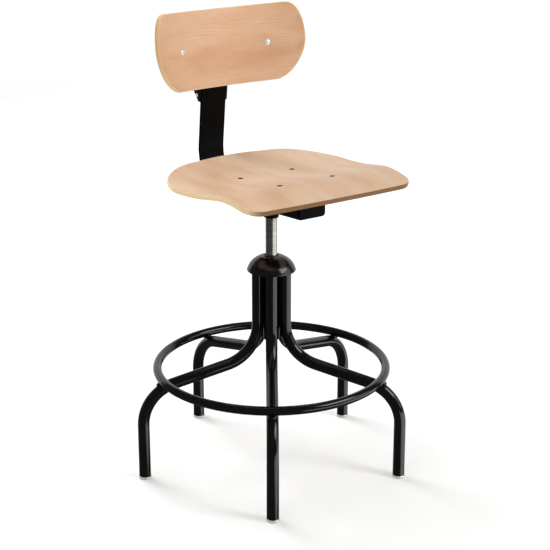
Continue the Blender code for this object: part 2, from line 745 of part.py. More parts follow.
def make_height_lock():
    """A threaded bridge between the slider's sides, a stud with a knob, and the pad it presses."""
    to_rear = (math.radians(-90), 0, 0)      # a plate's or turned piece's +Z points to the rear
    bridge_out = 0.0245
    bridge_t = 0.004
    stud_r = 0.004
    bridge = flat("clamp_bridge", [rounded_box(-BAR_HALF, BAR_HALF, -0.012, 0.012, 0.002, 2),
                                   circle(stud_r + GAP, 14)], bridge_t)
    place(bridge, SLIDER, (0, bridge_out, BRIDGE_UP), to_rear, finish=BLACK_ENAMEL)
    pad_t = 0.003
    pad = flat("pressure_pad", [rounded_box(-0.018, 0.018, -0.010, 0.010, 0.002, 2)], pad_t)
    place(pad, SLIDER, (0, BAR_T + GAP + pad_t / 2, BRIDGE_UP), to_rear, finish=NYLON)
    lock = frame("height_lock_frame", SLIDER, (0, 0, BRIDGE_UP), math.radians(-90))
    stud = rod("height_stud", stud_r, BAR_T + pad_t + 2 * GAP, 0.0335, 16)
    place(stud, lock, finish=ZINC)
    make_knob("height_knob", lock, 0.019, 0.0338, 0.0520)


# ---------------------------------------------------------------- tilt joint
# BACK: origin in the middle of the backrest's front face, Y to the rear, Z up the backrest.

BACK = frame("backrest_frame", SEAT, (0, -BACK_CENTRE[0], BACK_CENTRE[1]), -BACK_LEAN)


def seat_frame_point(origin, lean, out, up):
    """A slider or backrest point (out to the rear, up) as (y, z) in the seat's frame."""
    turn = Matrix.Rotation(lean, 2)
    return Vector(origin) + turn @ Vector((out, up))


def tilt_pin_in_back_frame():
    slider_origin = (-bar_face_forward(SLIDER_LOW_Z), SLIDER_LOW_Z)
    pin = seat_frame_point(slider_origin, BAR_LEAN, -TILT_OUT, TILT_UP)
    back_origin = Vector((-BACK_CENTRE[0], BACK_CENTRE[1]))
    return Matrix.Rotation(BACK_LEAN, 2) @ (pin - back_origin)


def u_bracket(name, half, sheet, side, base_edge):
    """A folded bracket: two sides, and a web on their edge base_edge.  The side's (y, z) points
    run anticlockwise; the sheet lies inside them."""
    verts = [(-half, y, z) for y, z in side] + [(half, y, z) for y, z in side]
    count = len(side)
    a, b = base_edge
    faces = [tuple(range(count))[::-1], tuple(range(count, 2 * count)), (a, b, b + count, a + count)]
    bracket = mesh_object(name, verts, faces)
    solidify(bracket, sheet)
    return bracket


def web_out(up, back_out):
    """Where a plane of the backrest, back_out behind its front face, meets a height on the slider."""
    origin = Vector((-bar_face_forward(SLIDER_LOW_Z), SLIDER_LOW_Z))
    to_slider = Matrix.Rotation(-BAR_LEAN, 2)
    ends = []
    for back_up in (-0.1, 0.1):
        point = seat_frame_point((-BACK_CENTRE[0], BACK_CENTRE[1]), -BACK_LEAN, back_out, back_up)
        ends.append(to_slider @ (point - origin))
    share = (up - ends[0].y) / (ends[1].y - ends[0].y)
    return ends[0].x + share * (ends[1].x - ends[0].x)


def arc(centre, radius, start, end, steps=6):
    turns = [math.radians(start + (end - start) * i / steps) for i in range(steps + 1)]
    return [(centre[0] + radius * math.cos(a), centre[1] + radius * math.sin(a)) for a in turns]


def make_tilt_joint():
    sheet = 0.0025
    pin_r = 0.004
    hole_r = pin_r + GAP
    web_y = -SLIDER_SHEET - 2 * GAP
    # lug on the slider: its web lies on the slider's front, its two sides hold the pin
    side = [(web_y, TILT_UP - 0.013), (web_y, TILT_UP + 0.013)]
    side += arc((-TILT_OUT, TILT_UP), 0.0062, 110, 250)
    lug = u_bracket("tilt_lug", 0.0118, sheet, side, (0, 1))
    lug_hole = rod("tilt_lug_hole", hole_r, -0.03, 0.03, 16)
    place(lug_hole, SLIDER, (0, -TILT_OUT, TILT_UP), SIDEWAYS, cutter=True)
    cut(lug, lug_hole)
    place(lug, SLIDER, finish=BLACK_ENAMEL)
    # bracket on the backrest's strap: its sides reach down outside the lug
    pin_y, pin_z = tilt_pin_in_back_frame()
    back_y = PLY_BACK + STRAP_T + 3 * GAP
    side = arc((pin_y, pin_z), 0.0062, -160, 20, 8)
    side += [(back_y + 0.0028, 0.004), (back_y, 0.004), (back_y, -0.046)]
    web_edge = (len(side) - 2, len(side) - 1)
    bracket = u_bracket("tilt_bracket", 0.0130 + GAP + sheet, sheet, side, web_edge)
    bracket_hole = rod("tilt_bracket_hole", hole_r, -0.03, 0.03, 16)
    place(bracket_hole, BACK, (0, pin_y, pin_z), SIDEWAYS, cutter=True)
    cut(bracket, bracket_hole)
    place(bracket, BACK, finish=BLACK_ENAMEL)
    # pin with a flat head and a rivet end
    outer = 0.0130 + sheet + 2 * GAP
    end = [(0, outer + 0.0022), (0.0062, outer + 0.0020), (0.0062, outer), (pin_r, outer)]
    pin = turned("tilt_pin", end + [(r, -z) for r, z in end[::-1]], 18)
    place(pin, BACK, (0, pin_y, pin_z), SIDEWAYS, finish=ZINC)
    # rubber stop between the slider and the bracket's web
    stop_up = 0.083
    stop_r = 0.0055
    reach = web_y - web_out(stop_up + stop_r, back_y + sheet) - GAP
    stop = rod("tilt_stop", stop_r, 0.0, reach, 18)
    place(stop, SLIDER, (0, web_y, stop_up), (math.radians(90), 0, 0), finish=RUBBER)


# ---------------------------------------------------------------- backrest


def back_edge(arc_x, corner):
    """Height of the backrest's edge above or below its middle, at a distance round the curve."""
    width, height, power = corner
    over = abs(arc_x) - (BACK_W / 2 - width)
    if over <= 0:
        return BACK_H / 2
    share = min(over / width, 1.0)
    return BACK_H / 2 - height * (1 - (1 - share ** power) ** (1 / power))


def on_curve(arc_x, out):
    """A point on the backrest's curve, out behind its front face, as (x, y)."""
    a = arc_x / BACK_CURVE_R
    r = BACK_CURVE_R + out
    return r * math.sin(a), r * math.cos(a) - BACK_CURVE_R


def make_backrest_panel():
    half = BACK_W / 2
    turns = [math.radians(90) * i / 16 for i in range(17)]
    right = [half * math.sin(a) ** 0.9 for a in turns]
    right[-1] = half - 0.0003
    stations = [-x for x in right[:0:-1]] + right
    rungs = []
    for s in stations:
        x, y = on_curve(s, 0.0)
        rungs.append(((x, y, back_edge(s, BACK_TOP_CORNER)), (x, y, -back_edge(s, BACK_LOW_CORNER))))
    panel = strip("backrest_panel", rungs)
    solidify(panel, PLY_BACK)
    bevel(panel, 0.003, 2, 50)
    smooth(panel)
    place(panel, BACK, finish=BACK_PLY)
    return panel


def make_back_strap():
    reach = BACK_BOLT_ARC + 0.016
    rungs = []
    for i in range(25):
        s = -reach + 2 * reach * i / 24
        round_off = max(0.0, abs(s) - (reach - STRAP_HALF_H))
        h = math.sqrt(max(STRAP_HALF_H ** 2 - round_off ** 2, 0.004 ** 2))
        x, y = on_curve(s, PLY_BACK + GAP)
        rungs.append(((x, y, h), (x, y, -h)))
    strap = strip("back_strap", rungs)
    solidify(strap, STRAP_T)
    place(strap, BACK, finish=BLACK_ENAMEL)
    return strap


def make_backrest_bolts(panel, strap):
    """Dome-headed bolts square to the curved panel, with nuts behind the strap."""
    shank = 0.003
    for number, s in ((1, -BACK_BOLT_ARC), (2, BACK_BOLT_ARC)):
        x, y = on_curve(s, 0.0)
        turn = frame(f"backrest_bolt_frame_{number}", BACK, (x, y, 0), turn=-s / BACK_CURVE_R)
        to_front = (math.radians(90), 0, 0)  # a turned piece's +Z points at the sitter
        hole = rod(f"backrest_bolt_hole_{number}", shank + GAP, -0.030, 0.010, 16)
        place(hole, turn, (0, 0, 0), to_front, cutter=True)
        cut(panel, hole)
        cut(strap, hole)
        dome = [(0, 0.0026), (0.0030, 0.0023), (0.0052, 0.0013), (0.0063, GAP)]
        end = -(PLY_BACK + STRAP_T + 0.0085)
        bolt = turned(f"backrest_bolt_{number}", dome + [(shank, GAP), (shank, end), (0, end)], 18)
        place(bolt, turn, (0, 0, 0), to_front, finish=NICKEL)
        nut = flat(f"backrest_nut_{number}", [hexagon(0.010), circle(shank + GAP, 12)], 0.005)
        nut_y = PLY_BACK + STRAP_T + 2 * GAP + 0.0025 + GAP
        place(nut, turn, (0, nut_y, 0), to_front, finish=ZINC)


# ---------------------------------------------------------------- assembly


def build():
    for number, azimuth in enumerate(leg_azimuths(), start=1):
        make_leg(number, azimuth)
        make_foot(number, azimuth)
    make_foot_ring()
    make_centre_column()
    make_bell_cap()
    make_spindle()
    make_hub()
    seat = make_seat_panel()
    make_seat_plate()
    make_seat_bolts(seat)
    make_seat_channel()
    make_depth_lock()
    make_back_bar()
    make_slider()
    make_cross_pins()
    make_height_lock()
    make_tilt_joint()
    panel = make_backrest_panel()
    strap = make_back_strap()
    make_backrest_bolts(panel, strap)
    bpy.context.view_layer.update()


build()
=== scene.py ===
"""Adjustable swivel stool: the finished pieces and their materials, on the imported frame."""
import json
import math

import bpy
import numpy as np
from mathutils import Matrix, Vector


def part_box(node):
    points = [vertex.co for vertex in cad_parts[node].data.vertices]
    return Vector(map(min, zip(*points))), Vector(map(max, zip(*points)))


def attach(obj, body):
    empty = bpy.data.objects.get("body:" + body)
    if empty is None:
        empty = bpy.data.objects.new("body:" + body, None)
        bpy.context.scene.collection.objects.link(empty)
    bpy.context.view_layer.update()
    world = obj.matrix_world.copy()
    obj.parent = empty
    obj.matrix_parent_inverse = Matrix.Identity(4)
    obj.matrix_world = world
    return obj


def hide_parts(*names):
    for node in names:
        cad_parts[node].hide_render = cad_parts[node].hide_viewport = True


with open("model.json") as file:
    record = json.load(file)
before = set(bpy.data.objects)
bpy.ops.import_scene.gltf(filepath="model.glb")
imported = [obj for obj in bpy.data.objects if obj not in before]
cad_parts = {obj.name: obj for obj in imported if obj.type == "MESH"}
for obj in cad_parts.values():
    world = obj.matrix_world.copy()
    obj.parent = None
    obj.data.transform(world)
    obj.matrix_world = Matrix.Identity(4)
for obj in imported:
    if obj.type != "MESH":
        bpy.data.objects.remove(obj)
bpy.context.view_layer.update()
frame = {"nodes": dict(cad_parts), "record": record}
MM = 0.001


def middle(node):
    low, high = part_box(node)
    return (low + high) / 2


AXIS = middle("spindle").to_2d()           # the swivel axis, seen from above
VIEW_TURN = math.radians(34.7)             # the sitter faces this far to one side of the camera

# ---------------------------------------------------------------- meshes


def new_object(name, verts, faces, body, materials, attributes=None, sharp=40):
    """A mesh object in the row frame that rides on a body."""
    mesh = bpy.data.meshes.new(name)
    mesh.from_pydata([tuple(v) for v in verts], [], [tuple(f) for f in faces])
    mesh.validate()
    for key, values in (attributes or {}).items():
        layer = mesh.attributes.new(key, "FLOAT", "POINT")
        layer.data.foreach_set("value", values)
    for material in materials if isinstance(materials, (list, tuple)) else [materials]:
        mesh.materials.append(material)
    mesh.shade_smooth()
    mesh.set_sharp_from_angle(angle=math.radians(sharp))
    obj = bpy.data.objects.new(name, mesh)
    bpy.context.scene.collection.objects.link(obj)
    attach(obj, body)
    return obj


def frame_at(origin, up, side=(1, 0, 0)):
    """A matrix whose Z runs along up and whose X is as near to side as it can be."""
    z = Vector(up).normalized()
    x = Vector(side)
    x = (x - z * x.dot(z)).normalized()
    y = z.cross(x)
    turn = Matrix((x, y, z)).transposed().to_4x4()
    return Matrix.Translation(Vector(origin)) @ turn


def lathe(profile, place, steps=72):
    """Vertices and faces of a profile of (radius, height) turned about its frame's Z, run from
    the top down the outer side.  A profile that starts and ends off the axis is a ring."""
    verts = []
    rings = []
    for radius, height in profile:
        if radius < 1e-7:
            rings.append([len(verts)])
            verts.append(place @ Vector((0, 0, height)))
            continue
        rings.append(list(range(len(verts), len(verts) + steps)))
        for i in range(steps):
            a = 2 * math.pi * i / steps
            verts.append(place @ Vector((radius * math.cos(a), radius * math.sin(a), height)))
    pairs = list(zip(rings[:-1], rings[1:]))
    if len(rings[0]) > 1:
        pairs.append((rings[-1], rings[0]))
    faces = []
    for upper, lower in pairs:
        for i in range(steps):
            j = (i + 1) % steps
            if len(upper) == 1:
                faces.append((upper[0], lower[i], lower[j]))
            elif len(lower) == 1:
                faces.append((upper[i], lower[0], upper[j]))
            else:
                faces.append((upper[i], lower[i], lower[j], upper[j]))
    return verts, faces


def rounded(profile, radius, steps=4):
    """The same profile with its corners rounded; points on the axis stay."""
    made = [profile[0]]
    for before, point, after in zip(profile[:-2], profile[1:-1], profile[2:]):
        a, p, b = Vector(before), Vector(point), Vector(after)
        cut = min(radius, (a - p).length * 0.45, (b - p).length * 0.45)
        start = p + (a - p).normalized() * cut
        end = p + (b - p).normalized() * cut
        for i in range(steps + 1):
            t = i / steps
            made.append(tuple(start * (1 - t) ** 2 + p * 2 * t * (1 - t) + end * t ** 2))
    made.append(profile[-1])
    return made


def tube(path, radius, steps=40):
    """A closed round tube along points that lie in one upright plane."""
    points = [Vector(p) for p in path]
    flat = (points[-1] - points[0])
    side = Vector((flat.y, -flat.x, 0)).normalized()
    verts = []
    for i, point in enumerate(points):
        ahead = points[min(i + 1, len(points) - 1)] - points[max(i - 1, 0)]
        across = ahead.normalized().cross(side)
        for k in range(steps):
            a = 2 * math.pi * k / steps
            verts.append(point + (side * math.cos(a) + across * math.sin(a)) * radius)
    faces = []
    for i in range(len(points) - 1):
        for k in range(steps):
            j = (k + 1) % steps
            low, high = i * steps, (i + 1) * steps
            faces.append((low + k, high + k, high + j, low + j))
    faces.append(tuple(range(steps)))
    last = (len(points) - 1) * steps
    faces.append(tuple(range(last, last + steps))[::-1])
    return verts, faces


def arc_points(centre, radius, start, end, steps):
    turns = [start + (end - start) * i / steps for i in range(steps + 1)]
    return [(centre[0] + radius * math.cos(a), centre[1] + radius * math.sin(a)) for a in turns]


# ---------------------------------------------------------------- materials


def linear(code):
    """An sRGB hex colour as linear RGBA."""
    parts = [int(code[i:i + 2], 16) / 255 for i in (1, 3, 5)]
    return tuple(p / 12.92 if p <= 0.04045 else ((p + 0.055) / 1.055) ** 2.4 for p in parts) + (1.0,)


def wire(tree, node, inputs):
    """Fills a node's inputs: a hex code becomes a colour, a socket is linked, a node is linked by
    its first output, and any other value is set."""
    for key, value in inputs.items():
        if isinstance(value, bpy.types.Node):
            value = value.outputs[0]
        if isinstance(value, bpy.types.NodeSocket):
            tree.links.new(value, node.inputs[key])
        else:
            node.inputs[key].default_value = linear(value) if isinstance(value, str) else value


def add(tree, kind, inputs=None, stops=(), **settings):
    """Adds a node with its settings, its inputs and, on a colour ramp, its (position, colour) stops."""
    node = tree.nodes.new(kind)
    for key, value in settings.items():
        setattr(node, key, value)
    for number, (position, colour) in enumerate(stops):
        elements = node.color_ramp.elements
        element = elements[number] if number < len(elements) else elements.new(position)
        element.position = position
        element.color = linear(colour)
    wire(tree, node, inputs or {})
    return node


def start_material(name, **constants):
    """A Principled material with some constant inputs, its tree, and its shader."""
    material = bpy.data.materials.new(name)
    material.use_nodes = True
    tree = material.node_tree
    shader = tree.nodes["Principled BSDF"]
    wire(tree, shader, {key.replace("_", " "): value for key, value in constants.items()})
    return material, tree, shader


def per_mm(x, y, z):
    """The scale that makes one unit of a pattern x, y and z millimetres long."""
    return (1 / (x * MM), 1 / (y * MM), 1 / (z * MM))


CLOUD_MM = 45                              # how broad the drifts of colour in a coat are


def painted(name, colour, dull, rub_mm, peel_mm, depth_mm, roughness, **constants):
    """Paint, plastic or plated metal: two close colours in soft clouds, a roughness that drifts
    over rub_mm, and a skin whose ripple is peel_mm across and depth_mm deep."""
    material, tree, shader = start_material(name, **constants)
    coords = add(tree, "ShaderNodeTexCoord").outputs["Object"]
    clouds = add(tree, "ShaderNodeMapping", {"Vector": coords, "Scale": per_mm(CLOUD_MM, CLOUD_MM, CLOUD_MM)})
    cloud = add(tree, "ShaderNodeTexNoise", {"Vector": clouds, "Scale": 1.0, "Detail": 4.0})
    tone = add(tree, "ShaderNodeValToRGB", {"Fac": cloud}, [(0.35, colour), (0.65, dull)])
    rubs = add(tree, "ShaderNodeMapping", {"Vector": coords, "Scale": per_mm(rub_mm, rub_mm, rub_mm)})
    rub = add(tree, "ShaderNodeTexNoise", {"Vector": rubs, "Scale": 1.0, "Detail": 5.0})
    gloss = add(tree, "ShaderNodeMapRange", {"Value": rub, "To Min": roughness[0], "To Max": roughness[1]})
    peels = add(tree, "ShaderNodeMapping", {"Vector": coords, "Scale": per_mm(peel_mm, peel_mm, peel_mm)})
    peel = add(tree, "ShaderNodeTexNoise", {"Vector": peels, "Scale": 1.0, "Detail": 2.0})
    skin = add(tree, "ShaderNodeBump", {"Height": peel, "Strength": 0.6, "Distance": depth_mm * MM})
    wire(tree, shader, {"Base Color": tone, "Roughness": gloss, "Normal": skin})
    return material


# Stoved black enamel on steel tube: wet gloss, a faint orange-peel ripple in the highlights.
BLACK_ENAMEL = painted("gloss black stoved enamel", "#060606", "#0A0A09", 12, 3.0, 0.010,
                       (0.07, 0.15), IOR=1.5)
# The same paint on pressed sheet, thinner and duller, so it shows only broad soft highlights.
SATIN_ENAMEL = painted("satin black enamel on pressed steel", "#030202", "#050404", 16, 1.2, 0.008,
                       (0.42, 0.55), IOR=1.5, Specular_IOR_Level=0.06)
# Brown-black phenolic moulding, polished by its mould: warm black with a clear highlight.
PHENOLIC = painted("polished brown-black phenolic", "#0A0706", "#110C0A", 14, 4.0, 0.012,
                   (0.14, 0.26), IOR=1.55)
# Black nylon moulding with the fine grain of a sparked mould: a dull black with no clear highlight.
BLACK_NYLON = painted("grained black nylon", "#0D0D0E", "#151516", 10, 0.7, 0.05, (0.42, 0.55), IOR=1.53)
# Undyed nylon rollers and pad: warm off-white with a soft sheen.
WHITE_NYLON = painted("natural nylon", "#CFC9B8", "#DAD5C6", 10, 0.9, 0.02, (0.35, 0.5), IOR=1.53)
# Moulded rubber: matt, so that it looks greyer than the enamel beside it.
RUBBER = painted("black rubber", "#101010", "#191919", 8, 0.8, 0.04, (0.7, 0.85), IOR=1.52)
# Nickel plate with a painted reflection: a near-white, mostly matt colour stands for the white studio that
# the plate mirrors, so it is light all over, with one clear glint.
NICKEL_WITH_PAINTED_REFLECTION = painted("bright nickel plate", "#F0EEE9", "#DEDBD4", 9, 2.5, 0.004, (0.20, 0.32), Metallic=0.35)
# Zinc plate on nuts, studs and small fittings: cool grey, a little cloudy.
ZINC = painted("bright zinc plate", "#B9BCC0", "#A3A6AA", 6, 1.5, 0.010, (0.25, 0.42), Metallic=1.0)
# Steel blackened by a baked oxide: a brown-black film that leaves hardly any shine.
DARK_STEEL = painted("blackened steel", "#2E2013", "#1E150D", 4, 1.0, 0.010, (0.5, 0.65), Metallic=0.25,
                     Specular_IOR_Level=0.1)
# Oil-filled sintered bronze: dull brown-gold with a fine pitted skin.
BRONZE = painted("sintered bronze", "#A5814E", "#8E6C3F", 5, 0.8, 0.03, (0.35, 0.5), Metallic=1.0)


def turned_steel():
    """Bright drawn bar, turned: fine rings round it catch the light as a soft upright band."""
    material, tree, shader = start_material("turned bright steel", Metallic=1.0)
    coords = add(tree, "ShaderNodeTexCoord").outputs["Object"]
    clouds = add(tree, "ShaderNodeMapping", {"Vector": coords, "Scale": per_mm(14, 14, 5)})
    cloud = add(tree, "ShaderNodeTexNoise", {"Vector": clouds, "Scale": 1.0, "Detail": 6.0})
    tone = add(tree, "ShaderNodeValToRGB", {"Fac": cloud}, [(0.3, "#A19D96"), (0.7, "#BFBBB3")])
    # lathe marks, 1.1 mm apart: coarser than the real 0.2 mm so that they still show
    rings = add(tree, "ShaderNodeMapping", {"Vector": coords, "Scale": per_mm(60, 60, 1.1)})
    marks = add(tree, "ShaderNodeTexNoise", {"Vector": rings, "Scale": 1.0, "Detail": 3.0})
    gloss = add(tree, "ShaderNodeMapRange", {"Value": marks, "To Min": 0.20, "To Max": 0.40})
    skin = add(tree, "ShaderNodeBump", {"Height": marks, "Strength": 0.5, "Distance": 0.03 * MM})
    wire(tree, shader, {"Base Color": tone, "Roughness": gloss, "Normal": skin})
    return material


TURNED_STEEL = turned_steel()

MIX_FACTOR, MIX_FIRST, MIX_SECOND, MIX_COLOUR = 0, 6, 7, 2    # the colour sockets of a mix node


def beech_face(name, grain, pale, mid, deep, line, contrast):
    """Rotary-cut beech under clear satin lacquer: long wavy growth lines along the grain, short
    darker flecks, slow drifts of tone.  grain is the axis it runs along, 0 for X and 1 for Y."""
    material, tree, shader = start_material(name, IOR=1.45, Coat_Weight=0.15, Coat_Roughness=0.32)
    coords = add(tree, "ShaderNodeTexCoord").outputs["Object"]

    def streak(along, across):
        size = [across, across, across]
        size[grain] = along
        return {"Vector": coords, "Scale": per_mm(*size)}

    drifts = add(tree, "ShaderNodeMapping", streak(240, 45))
    drift = add(tree, "ShaderNodeTexNoise", {"Vector": drifts, "Scale": 1.0, "Detail": 3.0,
                                             "Distortion": 0.3})
    tone = add(tree, "ShaderNodeValToRGB", {"Fac": drift}, [(0.34, pale), (0.52, mid), (0.70, deep)])
    # growth lines, 6 mm apart across the grain and bent into long arches
    axes = add(tree, "ShaderNodeSeparateXYZ", {0: coords})
    across = axes.outputs["Z" if grain == 0 else "X"]
    steps = add(tree, "ShaderNodeMath", {0: across, 1: 1 / (6.0 * MM)}, operation="MULTIPLY")
    arches = add(tree, "ShaderNodeMapping", streak(230, 52))
    bend = add(tree, "ShaderNodeTexNoise", {"Vector": arches, "Scale": 1.0, "Detail": 2.5})
    shift = add(tree, "ShaderNodeMath", {0: bend, 1: 6.0, 2: steps}, operation="MULTIPLY_ADD")
    share = add(tree, "ShaderNodeMath", {0: shift, 1: 1.0}, operation="FRACT")
    edge = add(tree, "ShaderNodeValToRGB", {"Fac": share},
               [(0.0, "#606060"), (0.08, "#000000"), (0.60, "#303030"), (0.96, "#FFFFFF"), (1.0, "#606060")])
    fades = add(tree, "ShaderNodeMapping", streak(90, 30))
    fade = add(tree, "ShaderNodeTexNoise", {"Vector": fades, "Scale": 1.0, "Detail": 2.0})
    strength = add(tree, "ShaderNodeMapRange", {"Value": fade, "To Min": 0.0, "To Max": contrast})
    weight = add(tree, "ShaderNodeMath", {0: edge, 1: strength}, operation="MULTIPLY")
    lined = add(tree, "ShaderNodeMix", {MIX_FACTOR: weight, MIX_FIRST: tone, MIX_SECOND: line},
                data_type="RGBA").outputs[MIX_COLOUR]
    # pores and ray flecks: streaks about 8 mm long and 0.9 mm wide
    flecks = add(tree, "ShaderNodeMapping", streak(8, 0.9))
    fleck = add(tree, "ShaderNodeTexNoise", {"Vector": flecks, "Scale": 1.0, "Detail": 4.0})
    darkest = add(tree, "ShaderNodeValToRGB", {"Fac": fleck}, [(0.50, "#000000"), (0.72, "#FFFFFF")])
    spots = add(tree, "ShaderNodeMapRange", {"Value": darkest, "To Min": 0.0, "To Max": 0.42})
    colour = add(tree, "ShaderNodeMix", {MIX_FACTOR: spots, MIX_FIRST: lined, MIX_SECOND: line},
                 data_type="RGBA").outputs[MIX_COLOUR]
    rubs = add(tree, "ShaderNodeMapping", streak(40, 12))
    rub = add(tree, "ShaderNodeTexNoise", {"Vector": rubs, "Scale": 1.0, "Detail": 3.0})
    gloss = add(tree, "ShaderNodeMapRange", {"Value": rub, "To Min": 0.38, "To Max": 0.52})
    pores = add(tree, "ShaderNodeBump", {"Height": fleck, "Strength": 0.35, "Distance": 0.05 * MM})
    wire(tree, shader, {"Base Color": colour, "Roughness": gloss, "Normal": pores})
    return material


def ply_edge(name, light, dark, glue, brown, layers):
    """The sanded and lacquered edge: layers of veneer, side grain light and end grain dark, with
    thin glue lines between.  The attribute "ply" runs from 0 at the face to 1 at the back."""
    material, tree, shader = start_material(name, IOR=1.45, Specular_IOR_Level=0.2)
    coords = add(tree, "ShaderNodeTexCoord").outputs["Object"]
    depth = add(tree, "ShaderNodeAttribute", attribute_name="ply").outputs["Fac"]
    count = add(tree, "ShaderNodeMath", {0: depth, 1: layers / 2}, operation="MULTIPLY")
    share = add(tree, "ShaderNodeMath", {0: count, 1: 1.0}, operation="FRACT")
    tone = add(tree, "ShaderNodeValToRGB", {"Fac": share},
               [(0.0, glue), (0.05, light), (0.47, light), (0.50, glue),
                (0.55, dark), (0.96, dark), (1.0, glue)])
    fibres = add(tree, "ShaderNodeMapping", {"Vector": coords, "Scale": per_mm(3.0, 3.0, 1.2)})
    fibre = add(tree, "ShaderNodeTexNoise", {"Vector": fibres, "Scale": 1.0, "Detail": 4.0})
    patchy = add(tree, "ShaderNodeMapRange", {"Value": fibre, "To Min": 0.0, "To Max": 0.45})
    veneers = add(tree, "ShaderNodeMix", {MIX_FACTOR: patchy, MIX_FIRST: tone, MIX_SECOND: dark},
                  data_type="RGBA").outputs[MIX_COLOUR]
    # where the rim faces along the grain it turns brown: partly end grain whose open pores drink the lacquer,
    # partly painted shade on the rims turned away from the lamps
    end = add(tree, "ShaderNodeAttribute", attribute_name="end").outputs["Fac"]
    end_grain_and_painted_shade = add(tree, "ShaderNodeMapRange", {"Value": end, "From Min": 0.55, "From Max": 0.98,
                                             "To Min": 0.0, "To Max": 0.90})
    colour = add(tree, "ShaderNodeMix", {MIX_FACTOR: end_grain_and_painted_shade, MIX_FIRST: veneers, MIX_SECOND: brown},
                 data_type="RGBA").outputs[MIX_COLOUR]
    gloss = add(tree, "ShaderNodeMapRange", {"Value": fibre, "To Min": 0.45, "To Max": 0.65})
    skin = add(tree, "ShaderNodeBump", {"Height": fibre, "Strength": 0.4, "Distance": 0.06 * MM})
    wire(tree, shader, {"Base Color": colour, "Roughness": gloss, "Normal": skin})
    return material


# Beech veneer under satin lacquer: the seat calm and pale, the back warmer with clearer lines.
SEAT_BEECH = beech_face("lacquered beech seat veneer", 1, "#E2C3A4", "#DDB999", "#D3AA88", "#BC8F6A", 0.22)
BACK_BEECH = beech_face("lacquered beech back veneer", 0, "#DFB796", "#DAAE8A", "#D0A079", "#B58059", 0.42)
# Their cut edges: pale cream stripes of veneer, browned on the rims that face along the grain, partly by end
# grain that drinks the lacquer and partly as painted shade: dark brown on the seat, whose front rim faces
# away from the lamps, pale on the back.
# the seat edge's dark brown paints shade on its front and rear rims, over the colour of their end grain
SEAT_EDGE = ply_edge("lacquered beech plywood edge, seat", "#F3DFBC", "#DDBC8C", "#B8935F", "#6E4624", 9)
BACK_EDGE = ply_edge("lacquered beech plywood edge, back", "#F2DDB8", "#DCBB8C", "#B99463", "#D2AC80", 7)

# ---------------------------------------------------------------- base

LEG_R = 12.7 * MM
LEG_TOP_R = 31.0 * MM                      # swivel axis to the middle of a leg's upright top
LEG_TOP_Z = 458 * MM
LEG_BEND_Z = 326 * MM                      # where the upright top ends
LEG_BEND_R = 88.9 * MM                     # both bends
LEG_SLOPE = math.radians(13)               # fall of the leg between its bends
LEG_BEND = math.pi / 2 - LEG_SLOPE
FOOT_R = 288.6 * MM                        # swivel axis to the middle of a foot


def leg_path():
    """Middle line of a leg: distance from the axis, height; from its top to its foot."""
    path = [(LEG_TOP_R, LEG_TOP_Z), (LEG_TOP_R, LEG_TOP_Z / 2 + LEG_BEND_Z / 2)]
    path += arc_points((LEG_TOP_R + LEG_BEND_R, LEG_BEND_Z), LEG_BEND_R, math.pi, math.pi + LEG_BEND, 28)
    low = path[-1]
    outer_r = FOOT_R - LEG_BEND_R
    join_r = outer_r + LEG_BEND_R * math.cos(LEG_BEND)
    join_z = low[1] - (join_r - low[0]) * math.tan(LEG_SLOPE)
    outer_z = join_z - LEG_BEND_R * math.sin(LEG_BEND)
    path.append(((low[0] + join_r) / 2, (low[1] + join_z) / 2))
    path += arc_points((outer_r, outer_z), LEG_BEND_R, LEG_BEND, 0.0, 28)
    path += [(FOOT_R, 60 * MM), (FOOT_R, 6 * MM)]
    return path


def leg_directions():
    """Unit vector from the axis to each foot, from where the CAD's glides stand."""
    return [(middle(f"glide_{n}").to_2d() - AXIS).normalized() for n in range(1, 6)]


def make_legs():
    """The five bent tubes and the glides that they stand on."""
    path = leg_path()
    for number, away in enumerate(leg_directions(), start=1):
        points = [(AXIS.x + away.x * r, AXIS.y + away.y * r, z) for r, z in path]
        verts, faces = tube(points, LEG_R, 44)
        leg = new_object(f"enamelled_leg_{number}", verts, faces, "base", BLACK_ENAMEL,
                         sharp=60)
        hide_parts(f"leg_{number}")
        foot = frame_at((AXIS.x + away.x * FOOT_R, AXIS.y + away.y * FOOT_R, 0), (0, 0, 1))
        profile = rounded([(0, 5.85), (12.9, 5.85), (14.3, 4.2), (14.3, 2.2), (12.2, 0), (0, 0)], 0.9)
        verts, faces = lathe([(r * MM, z * MM) for r, z in profile], foot, 48)
        # the glides' near-white nickel is a painted reflection of the white studio
        glide = new_object(f"nickel_glide_{number}", verts, faces, "base", NICKEL_WITH_PAINTED_REFLECTION)
        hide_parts(f"glide_{number}")


